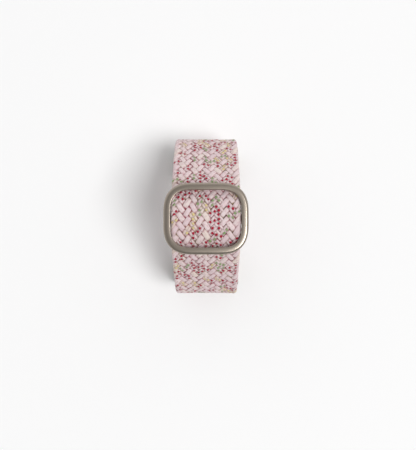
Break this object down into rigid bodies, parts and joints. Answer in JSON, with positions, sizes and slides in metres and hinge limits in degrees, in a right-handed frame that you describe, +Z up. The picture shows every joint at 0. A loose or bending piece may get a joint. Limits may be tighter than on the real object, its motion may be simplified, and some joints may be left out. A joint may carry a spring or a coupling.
{
  "type": "watch band",
  "caption": "Closed loop of flat elastic braid for a wide watch: a slide buckle on top and a pivoting rail connector with a sprung lock at each end.",
  "frame": {"origin": "on the ground, under the middle of the loop, between the two connectors", "axes": "+Z up from the connectors to the buckle, +Y along the strap towards the double side, +X across the strap, to the right of someone who looks towards +Y"},
  "size_m": [0.029, 0.0616, 0.048],
  "materials": {
    "braid": "flat braid of pale pink elastic nylon with crimson, green and yellow flecks",
    "stitch_thread": "polyester sewing thread",
    "sealed_braid_end": "heat-sealed nylon",
    "satin_buckle_metal": "satin, warm champagne coating",
    "steel": "turned, plain",
    "spring_wire": "drawn wire",
    "rail_pad_rubber": "matt"
  },
  "bodies": {
    "strap": {"strap_side_a": "braid", "strap_side_b": "braid", "strap_slack_a": "braid", "strap_slack_b": "braid", "strap_turn_a": "braid", "strap_turn_b": "braid", "strap_inner_run": "braid", "strap_inner_slack": "braid", "strap_lug_flap": "braid", "lug_end_stitches": "stitch_thread", "lug_end_seal": "sealed_braid_end"},
    "buckle": {"buckle_frame": "satin_buckle_metal", "buckle_centre_bar": "steel", "strap_window": "braid", "strap_buckle_end": "braid", "buckle_end_stitches": "stitch_thread", "buckle_end_seal": "sealed_braid_end"},
    "connector_a": {"connector_body_a": "satin_buckle_metal", "strap_bar_a": "steel", "bar_screws_a": "steel", "lock_retainer_a": "steel", "lock_spring_a": "spring_wire", "rail_pads_a": "rail_pad_rubber"},
    "connector_b": {"connector_body_b": "satin_buckle_metal", "strap_bar_b": "steel", "bar_screws_b": "steel", "lock_retainer_b": "steel", "lock_spring_b": "spring_wire", "rail_pads_b": "rail_pad_rubber"},
    "lock_a": {"lock_plunger_a": "steel"},
    "lock_b": {"lock_plunger_b": "steel"}
  },
  "joints": [
    {"name": "buckle_slide", "type": "slide", "parent": "strap", "child": "buckle", "axis": [0, 1, 0], "range_m": [-0.003, 0.003], "deforming": ["strap_slack_a", "strap_slack_b", "strap_inner_slack"]},
    {"name": "connector_a_pivot", "type": "hinge", "parent": "strap", "child": "connector_a", "pos_m": [0, 0.026, 0.0036], "axis": [1, 0, 0], "range_deg": [-15, 60]},
    {"name": "connector_b_pivot", "type": "hinge", "parent": "strap", "child": "connector_b", "pos_m": [0, -0.026, 0.0036], "axis": [-1, 0, 0], "range_deg": [-15, 60]},
    {"name": "lock_a_press", "type": "slide", "parent": "connector_a", "child": "lock_a", "axis": [0, 1, 0], "range_m": [0, 0.00075], "stiffness_N_per_m": 400, "springref_m": -0.001, "deforming": ["lock_spring_a"]},
    {"name": "lock_b_press", "type": "slide", "parent": "connector_b", "child": "lock_b", "axis": [0, -1, 0], "range_m": [0, 0.00075], "stiffness_N_per_m": 400, "springref_m": -0.001, "deforming": ["lock_spring_b"]}
  ]
}
